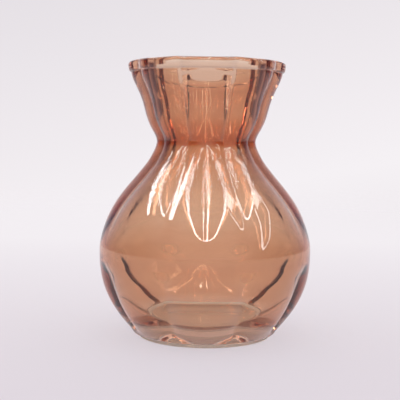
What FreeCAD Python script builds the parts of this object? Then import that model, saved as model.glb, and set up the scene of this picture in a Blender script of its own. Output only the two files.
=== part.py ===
import FreeCAD, Part
import math
import os

# Gourd vase of moulded glass: a round bulb on a low foot, a pinched waist and a flared cup of
# eight petals with a bead round its rim. A thin translucent lacquer covers the outside.
# Millimetres, +Z up. The origin is the middle of the resting plane, and a petal faces -Y.

# Overall sizes
petal_count = 8
vase_height = 150.0
rim_scallop = 0.7
scallop_reach = 15.0

# Foot
foot_radius = 36.6
foot_height = 2.6
foot_edge = 0.6
foot_flare = 2.8
kick_up_radius = 30.0
kick_up_depth = 1.5

# Bulb
bulb_radius = 57.8
bulb_height = 44.0
bulb_base_radius = foot_radius + foot_flare
bulb_fullness = 2.3
bulb_crease_depth = 4.8

# Shoulder and waist
shoulder_crease_depth = 3.4
waist_radius = 26.9
waist_height = 106.3
waist_crease_depth = 3.0

# Cup and its beaded rim
cup_radius = 41.2
cup_crease_depth = 3.6
bead_height = 5.4
bead_projection = 1.6

# Glass thickness and the hollow
floor_thickness = 8.2
floor_radius = 28.0
bulb_wall = 3.5
waist_wall = 3.2
rim_wall = 6.2
lip_edge = 0.4
bulb_hollow_crease = 2.6
waist_hollow_crease = 2.4
rim_hollow_crease = 3.6

# Lacquer
coat_thickness = 0.2

# Bulb stations: height from the top of the foot to the widest ring, and crease depth
bulb_shares = (
    (0.00, 0.00),
    (0.05, 0.45),
    (0.12, 0.80),
    (0.22, 0.98),
    (0.35, 1.00),
    (0.50, 0.97),
    (0.66, 0.88),
    (0.80, 0.66),
    (0.91, 0.25),
)

# Shoulder stations: height and narrowing from the bulb to the waist, and crease depth
shoulder_shares = (
    (0.000, 0.000, 0.00),
    (0.100, 0.003, 0.00),
    (0.200, 0.044, 0.16),
    (0.300, 0.110, 0.42),
    (0.400, 0.199, 0.64),
    (0.500, 0.319, 0.81),
    (0.600, 0.471, 0.93),
    (0.680, 0.608, 1.00),
    (0.760, 0.741, 1.00),
    (0.830, 0.849, 1.00),
    (0.900, 0.929, 0.98),
    (0.955, 0.980, 0.94),
)

# Cup stations: height and widening from the waist to the underside of the bead
cup_shares = (
    (0.00, 0.000),
    (0.06, 0.028),
    (0.12, 0.098),
    (0.18, 0.190),
    (0.25, 0.283),
    (0.35, 0.388),
    (0.46, 0.468),
    (0.57, 0.548),
    (0.68, 0.657),
    (0.79, 0.790),
    (0.88, 0.905),
    (0.95, 0.972),
    (1.00, 1.000),
)

# Bead stations: height from its underside to the rim, and projection beyond the cup
bead_shares = (
    (0.00, 0.00),
    (0.10, 0.55),
    (0.28, 0.82),
    (0.52, 0.95),
    (0.76, 1.00),
    (0.92, 0.80),
    (1.00, 0.45),
)

# From this share of the cup's height the hollow steepens to the mouth: height and widening
mouth_start_share = 0.68
mouth_shares = (
    (0.27, 0.33),
    (0.53, 0.63),
    (0.77, 0.82),
    (1.00, 1.00),
)

# Quarter turns of the foot's lower edge, and of the hollow from its floor to the bulb
foot_edge_steps = 3
hollow_steps = 6

petal_angle = 360.0 / petal_count
front_angle = -90.0
petal_rim = vase_height - rim_scallop
bead_underside = petal_rim - bead_height


def point(radius, angle, height):
    turn = math.radians(angle)
    return FreeCAD.Vector(radius * math.cos(turn), radius * math.sin(turn), height)


def rise_at(height):
    """How much higher a ring is at its creases than at its petals, nearing the rim."""
    share = 1 - (petal_rim - height) / scallop_reach
    return rim_scallop * max(share, 0) ** 2


def petal_ring(station):
    """A closed ring of arcs, one for each petal, that meet at the creases between petals."""
    height, radius, crease = station
    valley = radius - crease
    crest = height + rise_at(height)
    arcs = []
    for petal in range(petal_count):
        middle = front_angle + petal * petal_angle
        start = point(valley, middle - petal_angle / 2, crest)
        centre = point(radius, middle, height)
        end = point(valley, middle + petal_angle / 2, crest)
        arcs.append(Part.Arc(start, centre, end).toShape())
    return Part.Wire(arcs)


def skin(stations):
    """The faces of a smooth loft through the rings of the given stations."""
    rings = [petal_ring(station) for station in stations]
    return Part.makeLoft(rings).Faces


def band(inner, outer):
    """The straight faces between two rings, such as the top of the rim."""
    return Part.makeRuledSurface(petal_ring(inner), petal_ring(outer)).Faces


def closed_solid(faces):
    """One solid from faces that meet edge to edge."""
    sewn = Part.Compound(faces)
    sewn.sewShape()
    solid = Part.Solid(Part.Shell(sewn.Faces))
    if solid.Volume < 0:
        solid.reverse()
    return solid


def between(low, high, share):
    return low + (high - low) * share


def foot_stations():
    """From the resting ring round the foot's lower edge, and up to the start of the bulb."""
    stations = []
    for step in range(foot_edge_steps + 1):
        turn = math.radians(90.0 * step / foot_edge_steps)
        height = foot_edge * (1 - math.cos(turn))
        radius = foot_radius - foot_edge * (1 - math.sin(turn))
        stations.append((height, radius, 0))
    stations.append((foot_height, bulb_base_radius, 0))
    return stations


def bulb_stations():
    stations = []
    for height_share, crease_share in bulb_shares:
        height = between(foot_height, bulb_height, height_share)
        narrowing = (1 - height_share) ** bulb_fullness
        radius = between(bulb_radius, bulb_base_radius, narrowing)
        stations.append((height, radius, bulb_crease_depth * crease_share))
    return stations


def shoulder_stations():
    stations = []
    for height_share, radius_share, crease_share in shoulder_shares:
        height = between(bulb_height, waist_height, height_share)
        radius = between(bulb_radius, waist_radius, radius_share)
        stations.append((height, radius, shoulder_crease_depth * crease_share))
    return stations


def cup_stations():
    stations = []
    for height_share, radius_share in cup_shares:
        height = between(waist_height, bead_underside, height_share)
        radius = between(waist_radius, cup_radius, radius_share)
        crease = between(waist_crease_depth, cup_crease_depth, height_share)
        stations.append((height, radius, crease))
    return stations


def bead_stations():
    stations = []
    for height_share, radius_share in bead_shares:
        height = between(bead_underside, petal_rim, height_share)
        radius = cup_radius + bead_projection * radius_share
        stations.append((height, radius, cup_crease_depth))
    return stations


def offset(stations, distances, creases):
    """The stations moved square to the outline by each distance, inwards if it is positive."""
    moved = []
    last = len(stations) - 1
    for index, (height, radius, _) in enumerate(stations):
        before = stations[max(index - 1, 0)]
        after = stations[min(index + 1, last)]
        climb = after[0] - before[0]
        widening = after[1] - before[1]
        slant = math.hypot(climb, widening)
        distance = distances[index]
        new_height = height + distance * widening / slant
        new_radius = radius - distance * climb / slant
        moved.append((new_height, new_radius, creases[index]))
    return moved


def hollow_stations():
    """The inside: a round floor edge, then the wall's thickness in from the outside."""
    belly_radius = bulb_radius - bulb_wall
    stations = []
    for step in range(hollow_steps):
        turn = math.radians(90.0 * step / hollow_steps)
        height = between(floor_thickness, bulb_height, 1 - math.cos(turn))
        radius = between(floor_radius, belly_radius, math.sin(turn))
        stations.append((height, radius, bulb_hollow_crease * math.sin(2 * turn)))

    shoulder = shoulder_stations()
    walls = []
    creases = []
    for (_, _, crease), (height_share, _, _) in zip(shoulder, shoulder_shares):
        walls.append(between(bulb_wall, waist_wall, height_share))
        creases.append(waist_hollow_crease * crease / shoulder_crease_depth)
    stations += offset(shoulder, walls, creases)

    cup = cup_stations()
    walls = []
    creases = []
    for height_share, _ in cup_shares:
        walls.append(between(waist_wall, rim_wall, height_share))
        creases.append(between(waist_hollow_crease, rim_hollow_crease, height_share))
    for station, (height_share, _) in zip(offset(cup, walls, creases), cup_shares):
        if height_share <= mouth_start_share:
            stations.append(station)

    mouth_radius = cup_radius - rim_wall
    start_height, start_radius, start_crease = stations[-1]
    for height_share, radius_share in mouth_shares:
        height = between(start_height, petal_rim - lip_edge, height_share)
        radius = between(start_radius, mouth_radius, radius_share)
        crease = between(start_crease, rim_hollow_crease, height_share)
        stations.append((height, radius, crease))
    stations.append((petal_rim, mouth_radius + lip_edge, rim_hollow_crease))
    return stations


def outer_stations():
    return bulb_stations() + shoulder_stations() + cup_stations()


def kick_up():
    """The ball whose top makes the shallow hollow under the foot."""
    ball_radius = (kick_up_radius ** 2 + kick_up_depth ** 2) / (2 * kick_up_depth)
    centre = FreeCAD.Vector(0, 0, kick_up_depth - ball_radius)
    return Part.makeSphere(ball_radius, centre)


def glass_body():
    foot = foot_stations()
    bead = bead_stations()
    hollow = hollow_stations()
    faces = [Part.Face(petal_ring(foot[0]))]
    faces += skin(foot)
    faces += skin(outer_stations())
    faces += skin(bead)
    faces += band(hollow[-1], bead[-1])
    faces += skin(hollow)
    faces.append(Part.Face(petal_ring(hollow[0])))
    return closed_solid(faces).cut(kick_up()).Solids[0]


def colour_coat():
    """A skin that lies on the glass from the top of the foot to the edge of the rim."""
    under = outer_stations()
    under_bead = bead_stations()
    body = [(height, radius + coat_thickness, crease) for height, radius, crease in under]
    bead = [(height, radius + coat_thickness, crease) for height, radius, crease in under_bead]
    faces = skin(under) + skin(under_bead)
    faces += skin(body) + skin(bead)
    faces += band(under[0], body[0])
    faces += band(under_bead[-1], bead[-1])
    return closed_solid(faces)


os.makedirs("parts", exist_ok=True)
pieces = {"glass_body": glass_body(), "colour_coat": colour_coat()}
for name, shape in pieces.items():
    shape.exportStep(f"parts/{name}.step")
    print(name, shape.ShapeType, len(shape.Solids), shape.isValid(), round(shape.Volume))
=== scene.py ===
import math

import bmesh
import bpy
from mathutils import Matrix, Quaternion, Vector


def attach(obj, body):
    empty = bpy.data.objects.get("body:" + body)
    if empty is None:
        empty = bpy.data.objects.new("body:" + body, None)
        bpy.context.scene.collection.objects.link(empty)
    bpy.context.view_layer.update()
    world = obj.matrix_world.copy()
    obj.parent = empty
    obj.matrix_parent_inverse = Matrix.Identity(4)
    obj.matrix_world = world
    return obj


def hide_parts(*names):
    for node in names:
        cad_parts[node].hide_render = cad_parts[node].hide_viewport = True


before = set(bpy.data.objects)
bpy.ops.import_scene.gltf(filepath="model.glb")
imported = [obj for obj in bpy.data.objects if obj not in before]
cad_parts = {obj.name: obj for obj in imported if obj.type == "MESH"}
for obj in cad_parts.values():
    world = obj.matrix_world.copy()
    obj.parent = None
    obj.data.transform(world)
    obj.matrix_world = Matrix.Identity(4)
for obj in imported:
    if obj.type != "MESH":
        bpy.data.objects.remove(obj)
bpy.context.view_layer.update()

# The gourd vase: a moulded glass body, and the translucent pink-brown lacquer on its outside.
# The shape's sizes are in millimetres, as in the solids. Everything else is in metres.

MM = 0.001
scene = bpy.context.scene


# Shape, with the same driving sizes as the solids

petal_count = 8
petal_half = math.pi / petal_count
front_petal = math.radians(-90.0)

vase_height = 150.0
rim_scallop = 0.7
scallop_reach = 15.0

foot_radius = 36.6
foot_height = 2.6
foot_edge = 0.6
foot_flare = 2.8
kick_up_radius = 30.0
kick_up_depth = 1.5

bulb_radius = 57.8
bulb_height = 44.0
bulb_base_radius = foot_radius + foot_flare
bulb_fullness = 2.3
bulb_crease_depth = 4.8

shoulder_crease_depth = 3.4
waist_radius = 26.9
waist_height = 106.3
waist_crease_depth = 3.0

cup_radius = 41.2
cup_crease_depth = 3.6
bead_height = 5.4
bead_projection = 1.6

floor_thickness = 8.2
floor_radius = 28.0
bulb_wall = 3.5
waist_wall = 3.2
rim_wall = 6.2
lip_edge = 0.4
bulb_hollow_crease = 2.6
waist_hollow_crease = 2.4
rim_hollow_crease = 3.6

coat_thickness = 0.2

# Height from the top of the foot to the widest ring, and crease depth
bulb_shares = (
    (0.00, 0.00),
    (0.05, 0.45),
    (0.12, 0.80),
    (0.22, 0.98),
    (0.35, 1.00),
    (0.50, 0.97),
    (0.66, 0.88),
    (0.80, 0.66),
    (0.91, 0.25),
)

# Height and narrowing from the bulb to the waist, and crease depth
shoulder_shares = (
    (0.000, 0.000, 0.00),
    (0.100, 0.003, 0.00),
    (0.200, 0.044, 0.16),
    (0.300, 0.110, 0.42),
    (0.400, 0.199, 0.64),
    (0.500, 0.319, 0.81),
    (0.600, 0.471, 0.93),
    (0.680, 0.608, 1.00),
    (0.760, 0.741, 1.00),
    (0.830, 0.849, 1.00),
    (0.900, 0.929, 0.98),
    (0.955, 0.980, 0.94),
)

# Height and widening from the waist to the underside of the bead
cup_shares = (
    (0.00, 0.000),
    (0.06, 0.028),
    (0.12, 0.098),
    (0.18, 0.190),
    (0.25, 0.283),
    (0.35, 0.388),
    (0.46, 0.468),
    (0.57, 0.548),
    (0.68, 0.657),
    (0.79, 0.790),
    (0.88, 0.905),
    (0.95, 0.972),
    (1.00, 1.000),
)

# Height from the bead's underside to the rim, and projection beyond the cup
bead_shares = (
    (0.00, 0.00),
    (0.10, 0.55),
    (0.28, 0.82),
    (0.52, 0.95),
    (0.76, 1.00),
    (0.92, 0.80),
    (1.00, 0.45),
)

# Where the hollow steepens towards the mouth, and its height and widening from there
mouth_start_share = 0.68
mouth_shares = (
    (0.27, 0.33),
    (0.53, 0.63),
    (0.77, 0.82),
    (1.00, 1.00),
)

foot_edge_steps = 3
hollow_steps = 6

petal_rim = vase_height - rim_scallop
bead_underside = petal_rim - bead_height

# How finely the surfaces are drawn: faces across a petal, rings between two stations, and
# steps from the edge of the kick-up to its middle
petal_faces = 28
ring_steps = 5
kick_up_steps = 8

# How far the petals' arcs blend at a crease, which is at least so many times as deep as that
crease_rounding = 0.5
least_crease_to_rounding = 3
no_crease = 1e-6


def between(low, high, share):
    return low + (high - low) * share


def foot_stations():
    stations = []
    for step in range(foot_edge_steps + 1):
        turn = math.radians(90.0 * step / foot_edge_steps)
        height = foot_edge * (1 - math.cos(turn))
        radius = foot_radius - foot_edge * (1 - math.sin(turn))
        stations.append((height, radius, 0))
    stations.append((foot_height, bulb_base_radius, 0))
    return stations


def bulb_stations():
    stations = []
    for height_share, crease_share in bulb_shares:
        height = between(foot_height, bulb_height, height_share)
        narrowing = (1 - height_share) ** bulb_fullness
        radius = between(bulb_radius, bulb_base_radius, narrowing)
        stations.append((height, radius, bulb_crease_depth * crease_share))
    return stations


def shoulder_stations():
    stations = []
    for height_share, radius_share, crease_share in shoulder_shares:
        height = between(bulb_height, waist_height, height_share)
        radius = between(bulb_radius, waist_radius, radius_share)
        stations.append((height, radius, shoulder_crease_depth * crease_share))
    return stations


def cup_stations():
    stations = []
    for height_share, radius_share in cup_shares:
        height = between(waist_height, bead_underside, height_share)
        radius = between(waist_radius, cup_radius, radius_share)
        crease = between(waist_crease_depth, cup_crease_depth, height_share)
        stations.append((height, radius, crease))
    return stations


def bead_stations():
    stations = []
    for height_share, radius_share in bead_shares:
        height = between(bead_underside, petal_rim, height_share)
        radius = cup_radius + bead_projection * radius_share
        stations.append((height, radius, cup_crease_depth))
    return stations


def inside_of(stations, distances, creases):
    """The stations moved square to the outline by each distance, inwards."""
    moved = []
    last = len(stations) - 1
    for index, (height, radius, _) in enumerate(stations):
        before = stations[max(index - 1, 0)]
        after = stations[min(index + 1, last)]
        climb = after[0] - before[0]
        widening = after[1] - before[1]
        slant = math.hypot(climb, widening)
        distance = distances[index]
        new_height = height + distance * widening / slant
        new_radius = radius - distance * climb / slant
        moved.append((new_height, new_radius, creases[index]))
    return moved


def hollow_stations():
    """The inside: a round floor edge, then the wall's thickness in from the outside."""
    belly_radius = bulb_radius - bulb_wall
    stations = []
    for step in range(hollow_steps):
        turn = math.radians(90.0 * step / hollow_steps)
        height = between(floor_thickness, bulb_height, 1 - math.cos(turn))
        radius = between(floor_radius, belly_radius, math.sin(turn))
        stations.append((height, radius, bulb_hollow_crease * math.sin(2 * turn)))

    shoulder = shoulder_stations()
    walls = []
    creases = []
    for (_, _, crease), (height_share, _, _) in zip(shoulder, shoulder_shares):
        walls.append(between(bulb_wall, waist_wall, height_share))
        creases.append(waist_hollow_crease * crease / shoulder_crease_depth)
    stations += inside_of(shoulder, walls, creases)

    cup = cup_stations()
    walls = []
    creases = []
    for height_share, _ in cup_shares:
        walls.append(between(waist_wall, rim_wall, height_share))
        creases.append(between(waist_hollow_crease, rim_hollow_crease, height_share))
    for station, (height_share, _) in zip(inside_of(cup, walls, creases), cup_shares):
        if height_share <= mouth_start_share:
            stations.append(station)

    mouth_radius = cup_radius - rim_wall
    start_height, start_radius, start_crease = stations[-1]
    for height_share, radius_share in mouth_shares:
        height = between(start_height, petal_rim - lip_edge, height_share)
        radius = between(start_radius, mouth_radius, radius_share)
        crease = between(start_crease, rim_hollow_crease, height_share)
        stations.append((height, radius, crease))
    stations.append((petal_rim, mouth_radius + lip_edge, rim_hollow_crease))
    return stations


def outer_stations():
    return bulb_stations() + shoulder_stations() + cup_stations()


def curve_through(share, before, start, end, after):
    """A value on a smooth (Catmull-Rom) curve, at a share of the way from start to end."""
    slope = end - before
    bend = 2 * before - 5 * start + 4 * end - after
    twist = 3 * start - before - 3 * end + after
    return start + (slope * share + (bend * share ** 2 + twist * share ** 3)) / 2


def smooth(stations):
    """More stations, on a smooth curve through the given ones."""
    rows = []
    last = len(stations) - 1
    for index in range(last):
        corners = [stations[max(index - 1, 0)], stations[index],
                   stations[index + 1], stations[min(index + 2, last)]]
        for step in range(ring_steps):
            share = step / ring_steps
            rows.append(tuple(curve_through(share, *values) for values in zip(*corners)))
    rows.append(stations[last])
    return rows


def lobe(radius, crease, angle):
    """The distance from the axis of the arc of one petal, angle away from its middle."""
    if crease < no_crease:
        return radius
    valley = radius - crease
    half_chord = valley * math.sin(petal_half)
    rise = radius - valley * math.cos(petal_half)
    arc_radius = (half_chord ** 2 + rise ** 2) / (2 * rise)
    arc_middle = radius - arc_radius
    across = arc_middle * math.sin(angle)
    along = math.sqrt(max(arc_radius ** 2 - across ** 2, 0))
    return arc_middle * math.cos(angle) + along


def petalled(radius, crease, angle):
    """The same with the next petal's arc blended in, so that the crease is slightly rounded.

    The blend is a smooth maximum, a quarter of the rounding higher where the arcs meet."""
    own = lobe(radius, crease, angle)
    neighbour = lobe(radius, crease, 2 * petal_half - angle)
    rounding = min(crease_rounding, crease / least_crease_to_rounding)
    if rounding <= 0:
        return own
    share = max(rounding - (own - neighbour), 0) / rounding
    return own + share ** 2 * rounding / 4


def ring_of(station, grow=0.0):
    """The points of a petalled ring, with its radius grown by so many millimetres."""
    height, radius, crease = station
    share = max(1 - (petal_rim - height) / scallop_reach, 0)
    rise = rim_scallop * share ** 2
    points = []
    for step in range(petal_count * petal_faces):
        turn = 2 * petal_half * step / petal_faces
        angle = abs((turn + petal_half) % (2 * petal_half) - petal_half)
        distance = petalled(radius + grow, max(crease, 0), angle)
        lift = rise * (angle / petal_half) ** 2
        direction = front_petal + turn
        points.append(Vector((
            distance * math.cos(direction),
            distance * math.sin(direction),
            height + lift,
        )) * MM)
    return points


class Skin:
    """A mesh made of bands of faces between rings, with a material number for each band."""

    def __init__(self, name):
        self.name = name
        self.mesh = bmesh.new()

    def verts(self, points):
        return [self.mesh.verts.new(point) for point in points]

    def face(self, corners, material, flip):
        face = self.mesh.faces.new(corners[::-1] if flip else corners)
        face.smooth = True
        face.material_index = material

    def band(self, lower, upper, material, flip=False):
        count = len(lower)
        for index in range(count):
            following = (index + 1) % count
            corners = [lower[index], lower[following], upper[following], upper[index]]
            self.face(corners, material, flip)

    def bands(self, rings, material, flip=False):
        for lower, upper in zip(rings, rings[1:]):
            self.band(lower, upper, material, flip)

    def disc(self, edge, middle, material, flip=False):
        centre = self.mesh.verts.new(middle)
        count = len(edge)
        for index in range(count):
            self.face([centre, edge[index], edge[(index + 1) % count]], material, flip)

    def finish(self, *materials):
        data = bpy.data.meshes.new(self.name)
        self.mesh.to_mesh(data)
        self.mesh.free()
        piece = bpy.data.objects.new(self.name, data)
        scene.collection.objects.link(piece)
        for material in materials:
            data.materials.append(material)
        return piece


# Nodes

def feed(tree, socket, value):
    """Give a socket a number, a colour, or the output of another node."""
    if isinstance(value, bpy.types.NodeSocket):
        tree.links.new(value, socket)
    elif isinstance(value, tuple):
        socket.default_value = (*value, 1)
    else:
        socket.default_value = value


def calculate(tree, operation, *values):
    """What a Math node makes of numbers and outputs."""
    node = tree.nodes.new("ShaderNodeMath")
    node.operation = operation
    for socket, value in zip(node.inputs, values):
        feed(tree, socket, value)
    return node.outputs[0]


def coordinates(tree, kind="Object"):
    """The X, Y and Z of a place on the object, or of the line of sight in the world."""
    place = tree.nodes.new("ShaderNodeTexCoord")
    split = tree.nodes.new("ShaderNodeSeparateXYZ")
    tree.links.new(place.outputs[kind], split.inputs[0])
    return split.outputs


def noise(tree, scale, detail=2.0, upright=1.0):
    """Noise in the object's own coordinates, with scale in patches for each metre.

    The patches are upright times as tall as they are wide."""
    place = tree.nodes.new("ShaderNodeTexCoord")
    stretch = tree.nodes.new("ShaderNodeMapping")
    stretch.inputs["Scale"].default_value = (1, 1, 1 / upright)
    tree.links.new(place.outputs["Object"], stretch.inputs["Vector"])
    pattern = tree.nodes.new("ShaderNodeTexNoise")
    pattern.inputs["Scale"].default_value = scale
    pattern.inputs["Detail"].default_value = detail
    tree.links.new(stretch.outputs["Vector"], pattern.inputs["Vector"])
    return pattern.outputs["Fac"]


def map_range(tree, value, low, high, smooth_ends=False):
    """From 0 where the value is low to 1 where it is high."""
    node = tree.nodes.new("ShaderNodeMapRange")
    if smooth_ends:
        node.interpolation_type = "SMOOTHSTEP"
    node.inputs["From Min"].default_value = low
    node.inputs["From Max"].default_value = high
    tree.links.new(value, node.inputs["Value"])
    return node.outputs["Result"]


def colour_ramp(tree, factor, steps):
    """A ramp through the given colours, each with its place from 0 to 1."""
    ramp = tree.nodes.new("ShaderNodeValToRGB")
    elements = ramp.color_ramp.elements
    while len(elements) < len(steps):
        elements.new(0.5)
    for element, (position, colour) in zip(elements, steps):
        element.position = position
        element.color = (*colour, 1)
    tree.links.new(factor, ramp.inputs["Fac"])
    return ramp.outputs["Color"]


# Which sockets of a Mix node hold its two colours and their mixture
MIX_FIRST, MIX_SECOND, MIX_RESULT = 6, 7, 2


def mix_colours(tree, mode, share, first, second):
    """Two colours mixed. Each value is a number, a colour or an output."""
    node = tree.nodes.new("ShaderNodeMix")
    node.data_type = "RGBA"
    node.blend_type = mode
    feed(tree, node.inputs["Factor"], share)
    feed(tree, node.inputs[MIX_FIRST], first)
    feed(tree, node.inputs[MIX_SECOND], second)
    return node.outputs[MIX_RESULT]


def mix_shaders(tree, share, first, second):
    """A node that shows the given share of the second shader and the rest of the first."""
    node = tree.nodes.new("ShaderNodeMixShader")
    tree.links.new(share, node.inputs[0])
    tree.links.new(first.outputs[0], node.inputs[1])
    tree.links.new(second.outputs[0], node.inputs[2])
    return node


def seen_by_eye_or_glass(tree):
    """1 for rays from the camera and for those that gloss and glass send on, otherwise 0."""
    path = tree.nodes.new("ShaderNodeLightPath")
    seen = path.outputs["Is Camera Ray"]
    for ray in ("Is Glossy Ray", "Is Transmission Ray"):
        seen = calculate(tree, "MAXIMUM", seen, path.outputs[ray])
    return seen


# Materials

refractive_index = 1.5

# The tint of each material drifts between two colours in patches, so many for each metre. The
# noise reaches the one colour and the other at these values.
cloud_scale = 28.0
cloud_low = 0.35
cloud_high = 0.65

# What one crossing of the lacquer leaves of red, green and blue, and the share of that tint
# which its surface carries. The rest lies in its film, which light thrown back from the
# surface crosses twice.
lacquer_low = (0.825, 0.565, 0.420)
lacquer_high = (0.845, 0.595, 0.450)
surface_share = 0.3

# How deep the lacquer's tint is at each height in millimetres, in layers: lighter on the belly,
# and deepest in the waist
lacquer_layers = (
    (0, 0.50),
    (4, 0.55),
    (11, 1.00),
    (30, 1.00),
    (42, 1.15),
    (50, 1.04),
    (58, 0.85),
    (66, 0.84),
    (75, 0.86),
    (85, 0.97),
    (94, 1.15),
    (103, 1.25),
    (105, 1.95),
    (109, 2.05),
    (115, 1.62),
    (122, 1.22),
    (132, 1.28),
    (142, 1.20),
    (146, 0.95),
    (150, 0.60),
)
thinnest_layer = min(layers for _, layers in lacquer_layers)

# Painted edge shade: seen edge on, the lacquer's tint is turned towards a darker lilac, which
# stands for the dark surroundings seen at its edges
painted_edge_shade_start = 0.20
painted_edge_shade_skin = (0.74, 0.71, 0.82)
painted_edge_shade_film = (0.70, 0.63, 0.71)

# The lacquer's fine grain: patches for each metre, how much taller than wide they are, depth,
# the height of its middle, and how far it reaches above and below
grain_scale = 800.0
grain_upright = 2.5
grain_depth = 0.00015
grain_middle = 0.091
grain_reach = 0.024


def new_material(name):
    """A material with a Principled shader, its nodes, and that shader."""
    material = bpy.data.materials.new(name)
    material.use_nodes = True
    tree = material.node_tree
    return material, tree, tree.nodes["Principled BSDF"]


def plain_material(name, kind):
    """A material with a single shader of another kind, its nodes, and that shader."""
    material = bpy.data.materials.new(name)
    material.use_nodes = True
    tree = material.node_tree
    tree.nodes.clear()
    shader = tree.nodes.new(kind)
    output = tree.nodes.new("ShaderNodeOutputMaterial")
    tree.links.new(shader.outputs[0], output.inputs["Surface"])
    return material, tree, shader


def cloudy_tint(tree, low, high):
    cloud = noise(tree, cloud_scale)
    return colour_ramp(tree, cloud, ((cloud_low, low), (cloud_high, high)))


def towards_painted_edge_shade(tree, colour, edge):
    """The colour where the surface faces the eye, turning to a painted edge shade where it is
    edge on.
    """
    weight = tree.nodes.new("ShaderNodeLayerWeight")
    share = map_range(tree, weight.outputs["Facing"], painted_edge_shade_start, 1.0)
    return mix_colours(tree, "MIX", share, colour, edge)


def bump(tree, height, depth):
    node = tree.nodes.new("ShaderNodeBump")
    node.inputs["Distance"].default_value = depth
    tree.links.new(height, node.inputs["Height"])
    return node


def add_grain(tree, ripple):
    """The lacquer's grain on top of the ripple, strongest at one height and gone beyond it."""
    above = calculate(tree, "SUBTRACT", coordinates(tree)["Z"], grain_middle)
    away = calculate(tree, "ABSOLUTE", above)
    grain = bump(tree, noise(tree, grain_scale, upright=grain_upright), grain_depth)
    tree.links.new(map_range(tree, away, grain_reach, 0.0, True), grain.inputs["Strength"])
    tree.links.new(ripple.outputs["Normal"], grain.inputs["Normal"])
    return grain


def glass_material(name, low, high, ripple_scale, ripple_depth, roughness=0.0,
                   grained=False, edge=None):
    """Glass of a cloudy tint, with the slight ripple that a mould leaves in it."""
    material, tree, shader = new_material(name)
    shader.inputs["Transmission Weight"].default_value = 1.0
    shader.inputs["IOR"].default_value = refractive_index
    shader.inputs["Roughness"].default_value = roughness
    tint = cloudy_tint(tree, low, high)
    # Where given, a painted edge shade turns the tint towards a darker lilac where the surface is
    # seen edge on
    if edge:
        tint = towards_painted_edge_shade(tree, tint, edge)
    tree.links.new(tint, shader.inputs["Base Color"])
    relief = bump(tree, noise(tree, ripple_scale, detail=1.0), ripple_depth)
    if grained:
        relief = add_grain(tree, relief)
    tree.links.new(relief.outputs["Normal"], shader.inputs["Normal"])
    return material


def layered(tint, layers):
    """What so many layers of a tint leave of red, green and blue."""
    return tuple(channel ** layers for channel in tint)


def make_lacquer():
    """The lacquer's surface. A crossing of it takes the square root of the shader's colour."""
    low, high = [layered(tint, 2 * surface_share) for tint in (lacquer_low, lacquer_high)]
    return glass_material(
        "lacquer", low, high, ripple_scale=60.0, ripple_depth=0.00002,
        grained=True, edge=painted_edge_shade_skin)


def make_film():
    """The rest of the lacquer's tint, which deepens and lightens with height as listed."""
    material, tree, clear = plain_material("lacquer_film", "ShaderNodeBsdfTransparent")
    film_share = thinnest_layer - surface_share
    low, high = [layered(tint, film_share) for tint in (lacquer_low, lacquer_high)]
    steps = []
    for height, layers in lacquer_layers:
        steps.append((height / vase_height, layered(lacquer_low, layers - thinnest_layer)))
    climb = map_range(tree, coordinates(tree)["Z"], 0, vase_height * MM)
    more = colour_ramp(tree, climb, steps)
    tint = mix_colours(tree, "MULTIPLY", 1.0, cloudy_tint(tree, low, high), more)
    # The film's tint also turns to the painted edge shade where it is seen edge on
    tree.links.new(towards_painted_edge_shade(tree, tint, painted_edge_shade_film), clear.inputs["Color"])
    return material


ground_surface = {"ripple_scale": 300.0, "ripple_depth": 0.00005, "roughness": 0.5}

lacquer = make_lacquer()
lacquer_film = make_film()
bare_glass = glass_material(
    "bare_glass", (0.93, 0.97, 0.92), (0.95, 0.98, 0.94), ripple_scale=45.0, ripple_depth=0.00003)
ground_glass = glass_material(
    "ground_glass", (0.80, 0.84, 0.76), (0.84, 0.87, 0.80), **ground_surface)
# Painted shade: a brown tint on the glass under the foot, for the dim floor under the vase seen
# through the base
painted_shade_underside = glass_material(
    "painted_shade_underside", (0.90, 0.68, 0.49), (0.94, 0.72, 0.53), **ground_surface)
# Light crosses the faces between lacquer and glass without bending
joined_face = plain_material("joined_face", "ShaderNodeBsdfTransparent")[0]


# Pieces

# The numbers of the materials on the lacquer and on the glass
LACQUER, FILM = 0, 1
BARE, JOINED, GROUND, PAINTED_SHADE = 0, 1, 2, 3

# How far the glass lies inside the lacquer's under face, so that no two faces share a place
joint_gap = 0.02


def outer_rings(skin, grow=0.0):
    body = [skin.verts(ring_of(row, grow)) for row in smooth(outer_stations())]
    bead = [skin.verts(ring_of(row, grow)) for row in smooth(bead_stations())[1:]]
    return body + bead


def make_glass_body():
    """The foot is ground, and the hollow and the rim are bare. Under the foot the glass has a
    brown tint, painted shade for the dim floor seen through the base. The faces under the lacquer
    are joined to it."""
    skin = Skin("glass_vessel")
    foot = [skin.verts(ring_of(row)) for row in smooth(foot_stations())]
    outside = outer_rings(skin, -joint_gap)
    hollow = [skin.verts(ring_of(row)) for row in smooth(hollow_stations())]

    kick_up = [foot[0]]
    for step in range(kick_up_steps - 1):
        radius = kick_up_radius * (1 - step / kick_up_steps)
        height = kick_up_depth * (1 - (radius / kick_up_radius) ** 2)
        kick_up.append(skin.verts(ring_of((height, radius, 0))))

    skin.bands(kick_up, PAINTED_SHADE, flip=True)
    skin.disc(kick_up[-1], (0, 0, kick_up_depth * MM), PAINTED_SHADE, flip=True)
    skin.bands(foot, GROUND)
    skin.band(foot[-1], outside[0], JOINED)
    skin.bands(outside, JOINED)
    skin.band(outside[-1], hollow[-1], BARE)
    skin.bands(hollow, BARE, flip=True)
    skin.disc(hollow[0], (0, 0, floor_thickness * MM), BARE)
    return skin.finish(bare_glass, joined_face, ground_glass, painted_shade_underside)


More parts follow.
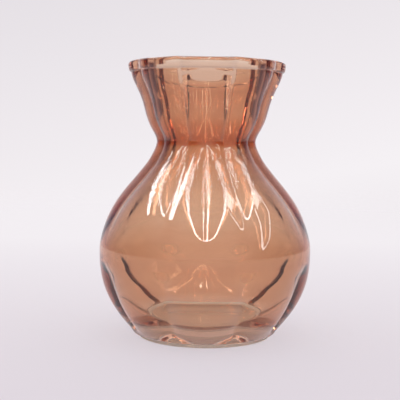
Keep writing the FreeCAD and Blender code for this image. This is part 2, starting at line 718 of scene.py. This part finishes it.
def make_colour_coat():
    """The lacquer: its free face, and its under face where it is joined to the glass."""
    skin = Skin("lacquer_coat")
    under = outer_rings(skin)
    free = outer_rings(skin, coat_thickness)
    skin.bands(free, LACQUER)
    skin.bands(under, FILM, flip=True)
    skin.band(under[0], free[0], LACQUER)
    skin.band(free[-1], under[-1], LACQUER)
    return skin.finish(lacquer, lacquer_film)


glass_vessel = make_glass_body()
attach(glass_vessel, "root")
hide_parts("glass_body")

lacquer_coat = make_colour_coat()
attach(lacquer_coat, "root")
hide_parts("colour_coat")


# Floor

# The floor's colours, painted darker in front of the vase and lighter behind it as light falling
# off towards the camera, and how far in front of and behind the vase they are reached
shaded_near_floor = (0.750, 0.688, 0.745)
lit_far_floor = (0.900, 0.860, 0.892)
near_floor_y = -0.15
far_floor_y = 0.45

# The floor glows with its own colour to soften the shadow on it, lies just under the resting
# ring, and fades away between these distances from the vase
floor_roughness = 0.85
floor_glow_share = 0.70
floor_gap = 0.0003
floor_fade_start = 0.35
floor_fade_end = 1.5
floor_sides = 96


def floor_material():
    material, tree, shader = new_material("floor_sheet")
    shader.inputs["Roughness"].default_value = floor_roughness
    # Painted light and shade: the floor's colour darkens towards the camera
    depth = map_range(tree, coordinates(tree)["Y"], near_floor_y, far_floor_y)
    colour = colour_ramp(tree, depth, ((0.0, shaded_near_floor), (1.0, lit_far_floor)))
    tree.links.new(colour, shader.inputs["Base Color"])
    glow = tree.nodes.new("ShaderNodeEmission")
    tree.links.new(colour, glow.inputs["Color"])
    glow_share = calculate(tree, "MULTIPLY", seen_by_eye_or_glass(tree), floor_glow_share)
    lit = mix_shaders(tree, glow_share, shader, glow)

    place = tree.nodes.new("ShaderNodeTexCoord")
    reach = tree.nodes.new("ShaderNodeVectorMath")
    reach.operation = "LENGTH"
    tree.links.new(place.outputs["Object"], reach.inputs[0])
    solid = map_range(tree, reach.outputs["Value"], floor_fade_end, floor_fade_start, True)
    nothing = tree.nodes.new("ShaderNodeBsdfTransparent")
    faded = mix_shaders(tree, solid, nothing, lit)
    tree.links.new(faded.outputs[0], tree.nodes["Material Output"].inputs["Surface"])
    return material


def make_floor():
    """A pale round sheet with painted light, palest behind the vase, that fades into the
    backdrop's own colour.
    """
    mesh = bmesh.new()
    bmesh.ops.create_circle(mesh, cap_ends=True, segments=floor_sides, radius=floor_fade_end)
    data = bpy.data.meshes.new("floor")
    mesh.to_mesh(data)
    mesh.free()
    data.materials.append(floor_material())
    floor = bpy.data.objects.new("floor", data)
    floor.location.z = -floor_gap
    scene.collection.objects.link(floor)


# Backdrop and even light

# The backdrop's colour by the height of the line of sight, as the sine of its climb, with how
# much of its way to the right is added to that
backdrop_lowest = -0.40
backdrop_highest = 0.60
backdrop_tilt = -0.22
backdrop_steps = (
    (0.00, (0.74, 0.69, 0.73)),
    (0.22, (0.84, 0.80, 0.83)),
    (0.33, (0.915, 0.88, 0.905)),
    (0.45, (0.86, 0.82, 0.85)),
    (0.55, (0.81, 0.77, 0.805)),
    (0.75, (0.72, 0.68, 0.72)),
    (1.00, (0.70, 0.66, 0.70)),
)

# The backdrop's shade by how far to the left or right a line of sight goes. Light that gloss
# has thrown about shows it fully, what is seen straight through the glass a little, and the
# eye not at all.
side_start = 0.30
side_shade_through = 0.30
side_steps = (
    (0.00, (1.00, 1.00, 1.00)),
    (0.35, (0.84, 0.81, 0.88)),
    (0.65, (0.40, 0.36, 0.47)),
    (0.85, (0.17, 0.14, 0.23)),
    (1.00, (0.12, 0.10, 0.17)),
)
fill_light = 1.0


def backdrop_colour(tree):
    sight = coordinates(tree, "Generated")
    tilted = calculate(tree, "MULTIPLY_ADD", sight["X"], backdrop_tilt, sight["Z"])
    climb = map_range(tree, tilted, backdrop_lowest, backdrop_highest)
    colour = colour_ramp(tree, climb, backdrop_steps)

    aside = map_range(tree, calculate(tree, "ABSOLUTE", sight["X"]), side_start, 1.0)
    shade = colour_ramp(tree, aside, side_steps)
    path = tree.nodes.new("ShaderNodeLightPath")
    thrown = map_range(tree, path.outputs["Glossy Depth"], 0.0, 1.0)
    through = calculate(
        tree, "MULTIPLY", path.outputs["Is Transmission Ray"], side_shade_through)
    shade_share = calculate(tree, "MAXIMUM", thrown, through)
    return mix_colours(tree, "MULTIPLY", shade_share, colour, shade)


def make_world():
    """A pale backdrop that the eye, gloss and glass see, and an even light that fills in."""
    world = bpy.data.worlds.new("studio")
    scene.world = world
    world.use_nodes = True
    tree = world.node_tree
    seen = tree.nodes["Background"]
    tree.links.new(backdrop_colour(tree), seen.inputs["Color"])
    fill = tree.nodes.new("ShaderNodeBackground")
    fill.inputs["Color"].default_value = (1, 1, 1, 1)
    fill.inputs["Strength"].default_value = fill_light
    light = mix_shaders(tree, seen_by_eye_or_glass(tree), fill, seen)
    tree.links.new(light.outputs[0], tree.nodes["World Output"].inputs["Surface"])


# Lamps, which gloss and glass see, and which throw no light of their own

bright_radiance = 20.0
softer_radiance = 10.0

# An arch overhead that opens away from the camera: half an ellipse with its ends bent back
overhead = 1.08
arch_width = 0.05
arch_middle = 0.03
arch_half = 0.60
arch_reach = 2.1
arch_back = 0.1
arch_back_power = 8
arch_steps = 24

# More strips overhead: name, width, and the x and y of the places they pass
overhead_strips = (
    ("thin_strip", 0.02, ((-0.06, -2.05), (-0.06, 0.0))),
    ("centre_strip", 0.05, ((0.10, -2.08), (0.09, 0.0))),
    ("left_panel", 0.16, ((-0.78, 0.45), (-0.80, 0.15), (-0.85, 0.0), (-1.1, -0.35))),
)

# Softer strips upright on the right: name, width, and the y and z of the places they pass
right_x = 0.65
right_strips = (
    ("right_line", 0.03, ((-0.35, 1.0), (-0.35, 0.27))),
    ("right_slant", 0.03, (
        (-0.34, 0.25), (-0.22, 0.32), (-0.13, 0.45), (0.0, 0.58), (0.03, 0.85))),
    ("right_panel", 0.3, ((-0.12, 0.85), (-0.12, 1.05))),
)


def glowing(name, radiance):
    material, _, glow = plain_material(name, "ShaderNodeEmission")
    glow.inputs["Strength"].default_value = radiance
    return material


def ribbon(name, line, width, material, across=None):
    """A narrow sheet along a line of points, out of the picture, seen by gloss and glass alone.

    It is wide in the direction across, or level and square to the line if none is given."""
    last = len(line) - 1
    points = []
    for index, place in enumerate(line):
        along = line[min(index + 1, last)] - line[max(index - 1, 0)]
        side = Vector(across) if across else Vector((along.y, -along.x, 0))
        half = side.normalized() * width / 2
        points += [place - half, place + half]
    faces = [(2 * i, 2 * i + 1, 2 * i + 3, 2 * i + 2) for i in range(last)]
    data = bpy.data.meshes.new(name)
    data.from_pydata(points, [], faces)
    data.materials.append(material)
    sheet = bpy.data.objects.new(name, data)
    scene.collection.objects.link(sheet)
    sheet.visible_camera = False
    sheet.visible_diffuse = False
    sheet.visible_shadow = False


def arch_line():
    """The arch's points from left to right, closest together at its ends."""
    line = []
    for step in range(arch_steps + 1):
        side = 2 * step / arch_steps - 1
        share = math.copysign(math.sqrt(abs(side)), side)
        reach = -arch_reach * math.sqrt(1 - share ** 2) + arch_back * share ** arch_back_power
        line.append(Vector((arch_middle + arch_half * share, reach, overhead)))
    return line


def make_lamps():
    bright = glowing("bright_strip", bright_radiance)
    softer = glowing("soft_strip", softer_radiance)
    ribbon("arch_strip", arch_line(), arch_width, bright)
    for name, width, places in overhead_strips:
        line = [Vector((x, y, overhead)) for x, y in places]
        ribbon(name, line, width, bright, across=(1, 0, 0))
    for name, width, places in right_strips:
        line = [Vector((right_x, y, z)) for y, z in places]
        ribbon(name, line, width, softer, across=(0, 1, 0))


make_floor()
make_world()
make_lamps()


# Camera, where the photograph was taken from

picture_width = 400
camera_distance = 0.497
camera_climb = math.radians(4.12)
camera_aim = Vector((0, 0, 0.0744))
camera_roll = math.radians(0.7)
pixels_per_metre = 1812
axis_column = 205.5
sensor_width = 36.0
nearest_seen = 0.01


def make_camera():
    data = bpy.data.cameras.new("camera")
    camera = bpy.data.objects.new("camera", data)
    scene.collection.objects.link(camera)
    scene.camera = camera
    away = Vector((0, -math.cos(camera_climb), math.sin(camera_climb)))
    camera.location = camera_aim + away * camera_distance
    camera.rotation_mode = "QUATERNION"
    facing = (camera_aim - camera.location).to_track_quat("-Z", "Y")
    camera.rotation_quaternion = facing @ Quaternion((0, 0, 1), camera_roll)
    data.sensor_width = sensor_width
    data.lens = pixels_per_metre * camera_distance * sensor_width / picture_width
    data.shift_x = (picture_width / 2 - axis_column) / picture_width
    data.clip_start = nearest_seen


make_camera()

scene.view_settings.view_transform = "Standard"

# Light is thrown about inside the glass, and crosses many faces of glass and lacquer
scene.cycles.max_bounces = 64
scene.cycles.glossy_bounces = 32
scene.cycles.transmission_bounces = 32
scene.cycles.transparent_max_bounces = 48
